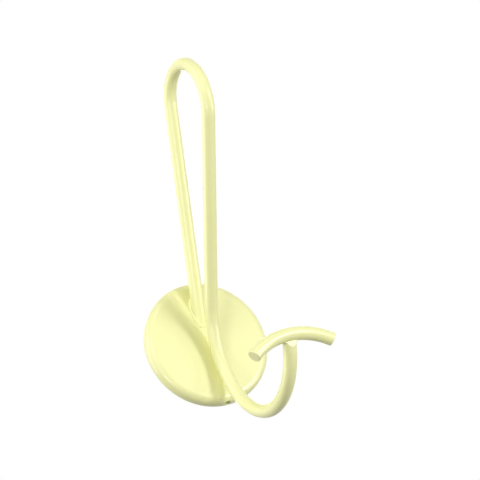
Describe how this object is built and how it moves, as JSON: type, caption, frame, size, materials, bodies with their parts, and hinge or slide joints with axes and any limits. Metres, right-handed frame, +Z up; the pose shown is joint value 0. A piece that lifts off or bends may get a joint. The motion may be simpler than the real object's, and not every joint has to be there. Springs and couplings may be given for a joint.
{
  "type": "wall coat hook",
  "caption": "Coated steel wall hook: a rod bent to a leaning hairpin loop and a wide J with a bowed cross bar at its tip, on a round rose that hides its fixing plate.",
  "frame": {"origin": "centre of the rose's back, on the wall", "axes": "+Y into the wall, +Z up the wall, +X to the right as seen from the room"},
  "size_m": [0.08, 0.1157, 0.219],
  "materials": {
    "coat": "gloss",
    "plate": "satin",
    "screw": "satin"
  },
  "bodies": {
    "root": {"hook_rod": "coat", "cross_bar": "coat", "rose": "coat", "wall_plate": "plate", "set_screw": "screw"}
  },
  "joints": []
}
